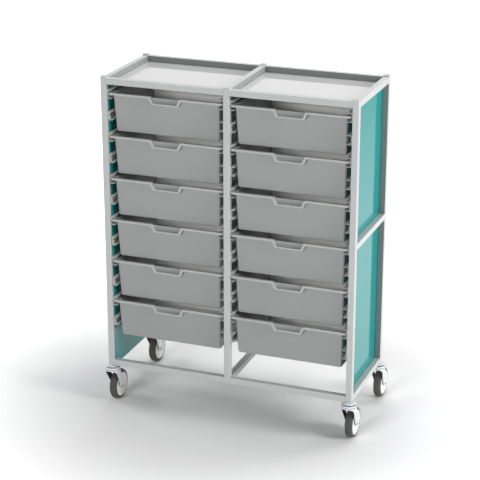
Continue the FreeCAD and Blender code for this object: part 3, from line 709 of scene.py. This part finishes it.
def tray_grid():
    """The softened section round the tray, and how much painted light and smoothness each of its points gets.
    """
    section = tray_section()
    stations = np.stack([tray_ring(*rectangle, height) for rectangle, height, _, _ in section])
    radii = [radius for _, _, radius, _ in section]
    steps = [5 if radius > 2 * EDGE_ROUND else 3 for radius in radii]
    steps[0] = steps[-1] = 1
    ends, sides = np.repeat([painted_light_and_polish for _, _, _, painted_light_and_polish in section], steps, axis=0).T
    painted_light_and_polish = np.where(np.abs(look_x) > 0.5, sides[:, None], ends[:, None])
    return softened(stations, radii, steps, closed=False), painted_light_and_polish


grid, grid_light_and_polish = tray_grid()
POLE_LIGHT_AND_POLISH = PAINTED_LIGHT_FULL[0], MATT[0]
for column in ("left", "right"):
    for row in range(1, 7):
        node = f"tray_{column}_{row}"
        low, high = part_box(node)
        place = np.array([(low.x + high.x) / 2, 0.0, high.z])
        mesh = skin_mesh(node + "_moulding", grid + place, closed=False)
        painted_light_and_polish = np.append(grid_light_and_polish.ravel(), POLE_LIGHT_AND_POLISH)
        mesh.attributes.new("painted_light_and_polish", "FLOAT", "POINT").data.foreach_set("value", painted_light_and_polish)
        finished_piece(node + "_moulding", mesh, tray_plastic, f"{column}_tray_{row}", "tray_plastic", node)
print("faces in a tray:", len(mesh.polygons))

# %% [markdown]
# ## Tyres and wheel discs
#
# A wheel is a section carried round its axle. The tyre is one round-shouldered ring of rubber; the two
# halves of its mould meet in the middle of the tread and leave a thin raised line there. The disc is a
# stiff hub, a thinner web and a rim that lies flush with the rubber, with every edge eased.

# %% Turned pieces
ROUND_STEPS = 96
TYRE_SHOULDER = 0.011
TYRE_SEAM = 0.0003
SEAM_HALF = 0.0006
TYRE_EDGE = 0.0005
BORE = 0.00405
HUB_RADIUS = 0.013
HUB_HALF = 0.0172
WEB_FROM = 0.021
WEB_TO = 0.038
WEB_HALF = 0.011
RIM_FROM = 0.0395
BEVEL = 0.001
SEAT_GAP = 0.00005
DISC_EDGES = [0.0002, 0.0012, 0.006, 0.0006, 0.0006, 0.0003, 0.0002]


def turned_grid(section, radii, steps, centre):
    """Section points (radius, across) on rings round an axle along X, with softened corners."""
    angle = np.linspace(0.0, 2 * math.pi, ROUND_STEPS, endpoint=False)[None, :]
    radius, across = (np.array(section)[:, index:index + 1] for index in (0, 1))
    x, y, z = np.broadcast_arrays(across, radius * np.sin(angle), radius * np.cos(angle))
    return softened(np.stack([x, y, z], axis=2), radii, steps, closed=True) + centre


def tyre_section(radius, half, seat):
    """Half loop of the tyre from its seat over the shoulder to the seam, then its mirror image."""
    turn = np.linspace(0.0, math.pi / 2, 9)
    shoulder = np.stack([radius - TYRE_SEAM - TYRE_SHOULDER * (1 - np.sin(turn)),
                         half - TYRE_SHOULDER * (1 - np.cos(turn))], axis=1)
    side = np.array([[seat, half - BEVEL], [seat + BEVEL, half]])
    seam = np.array([[radius - TYRE_SEAM, SEAM_HALF], [radius, SEAM_HALF / 2]])
    right = np.concatenate([side, shoulder, seam])
    return np.concatenate([right, right[::-1] * (1, -1)])


def disc_section(seat, half):
    """Loop of the disc: bore, hub, slope, web, step and rim on one side, then its mirror image."""
    right = np.array([[BORE, HUB_HALF], [HUB_RADIUS, HUB_HALF], [WEB_FROM, WEB_HALF], [WEB_TO, WEB_HALF],
                      [RIM_FROM, half], [seat - BEVEL, half], [seat - SEAT_GAP, half - BEVEL]])
    return np.concatenate([right, right[::-1] * (1, -1)])


for place in ("front_left", "front_right", "back_left", "back_right"):
    tyre_node = "castor_tyre_" + place
    disc_node = "castor_wheel_" + place
    low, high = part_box(tyre_node)
    centre = (np.array(low) + np.array(high)) / 2
    half = (high.x - low.x) / 2
    disc_low, disc_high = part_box(disc_node)
    seat = (disc_high.z - disc_low.z) / 2
    section = tyre_section((high.z - low.z) / 2, half, seat)
    grid = turned_grid(section, [TYRE_EDGE] * len(section), [1] * len(section), centre)
    mesh = skin_mesh("tyre_" + place, grid, closed=True)
    finished_piece("tyre_" + place, mesh, tyre_rubber, place + "_wheel", "tyre_rubber", tyre_node)
    section = disc_section(seat, half)
    grid = turned_grid(section, DISC_EDGES + DISC_EDGES[::-1], [3] * len(section), centre)
    mesh = skin_mesh("disc_" + place, grid, closed=True)
    finished_piece("disc_" + place, mesh, wheel_plastic, place + "_wheel", "wheel_white", disc_node)
print("faces in a disc:", len(mesh.polygons))

# %% [markdown]
# ## The stage
#
# A plain pale floor, wide enough that its far edge is never seen, and a white world behind it. The
# camera sees pure white there and mirrors a little less, while the object itself is lit by a much weaker
# sky, so its pale paint keeps its tone. Near the unit the floor is a true matt surface and keeps the
# unit's shadow. Farther off it starts to glow, to the camera and faintly in mirrors, until it meets the
# white of the world.

# %% Floor and world
FLOOR_REACH = 30.0
FLOOR_GREY = 0.80
AMBIENT = 0.056
MIRRORED_SKY = 0.8
FLOOR_GLOW = 1.1
MIRRORED_GLOW = 0.2
GLOW_FROM = 0.45
GLOW_WIDTH = 1.8


def kinds_of_ray(start):
    """Three Sockets, each 1 for one kind of ray: from the camera, from a mirror, and through glass."""
    kinds = ("Is Camera Ray", "Is Glossy Ray", "Is Transmission Ray")
    return [start.node("ShaderNodeLightPath", output=kind) for kind in kinds]


floor_mesh = bpy.data.meshes.new("floor")
floor_corners = [(x * FLOOR_REACH, y * FLOOR_REACH, 0) for x, y in ((-1, -1), (1, -1), (1, 1), (-1, 1))]
floor_mesh.from_pydata(floor_corners, [], [(0, 1, 2, 3)])
floor = bpy.data.objects.new("floor", floor_mesh)
bpy.context.scene.collection.objects.link(floor)

floor_material = bpy.data.materials.new("pale floor")
floor_material.use_nodes = True
floor_material.node_tree.nodes.clear()
start = Socket(floor_material.node_tree, None)
seen, mirrored, through = kinds_of_ray(start)
place = start.node("ShaderNodeTexCoord", output="Object")
far = place.node("ShaderNodeVectorMath", {"operation": "LENGTH"}, {0: place}, output="Value")
rise = far.node("ShaderNodeMapRange", {"interpolation_type": "SMOOTHSTEP"},
                {"Value": far, "From Min": GLOW_FROM, "From Max": GLOW_FROM + GLOW_WIDTH})
lift = (seen + mirrored * MIRRORED_GLOW + through) * rise * FLOOR_GLOW
matt = start.node("ShaderNodeBsdfDiffuse", None, {"Color": rgba(FLOOR_GREY)})
glow = start.node("ShaderNodeEmission", None, {"Strength": lift})
sum_of_both = start.node("ShaderNodeAddShader", None, {0: matt, 1: glow})
start.node("ShaderNodeOutputMaterial", None, {"Surface": sum_of_both})
floor_mesh.materials.append(floor_material)

world = bpy.data.worlds.new("world")
bpy.context.scene.world = world
world.use_nodes = True
world.node_tree.nodes.clear()
start = Socket(world.node_tree, None)
seen, mirrored, through = kinds_of_ray(start)
strength = (seen + through) * (1.0 - AMBIENT) + mirrored * (MIRRORED_SKY - AMBIENT) + AMBIENT
sky = start.node("ShaderNodeBackground", None, {"Color": rgba(1.0), "Strength": strength})
start.node("ShaderNodeOutputWorld", None, {"Surface": sky})
bpy.context.scene.view_settings.view_transform = "Standard"

# %% [markdown]
# ## Lamps
#
# Five soft lamps: a wide one overhead for the tops and the pool of shadow, a strong one on the right
# that whitens the side of the tubes, one low at the front left that reaches into the trays, and weak
# ones at the left and behind the right side, so that no face of the frame falls dark.

# %% Lamps
AIM = np.array([0.0, -0.05, 0.75])


def soft_lamp(name, place, width, height, strength):
    """Oblong lamp of a size in metres, aimed at the unit's middle; strength 1 lights white to white."""
    lamp = bpy.data.lights.new(name, "AREA")
    lamp.shape = "RECTANGLE"
    lamp.size = width
    lamp.size_y = height
    away = Vector(AIM) - Vector(place)
    lamp.energy = strength * math.pi ** 2 * away.length_squared
    lamp_object = bpy.data.objects.new(name, lamp)
    lamp_object.location = place
    lamp_object.rotation_euler = away.to_track_quat("-Z", "Y").to_euler()
    lamp_object.visible_camera = False
    lamp_object.visible_glossy = False
    bpy.context.scene.collection.objects.link(lamp_object)


soft_lamp("overhead", (0.3, 1.1, 4.5), 3.2, 3.2, 0.68)
soft_lamp("key", (-1.2, -6.2, 3.0), 2.4, 0.55, 0.42)
soft_lamp("right", (5.0, -0.8, 2.4), 2.0, 2.0, 0.74)
soft_lamp("right back", (4.0, 3.5, 2.8), 2.0, 2.0, 0.20)
soft_lamp("left", (-5.0, 0.5, 2.4), 2.0, 2.0, 0.32)
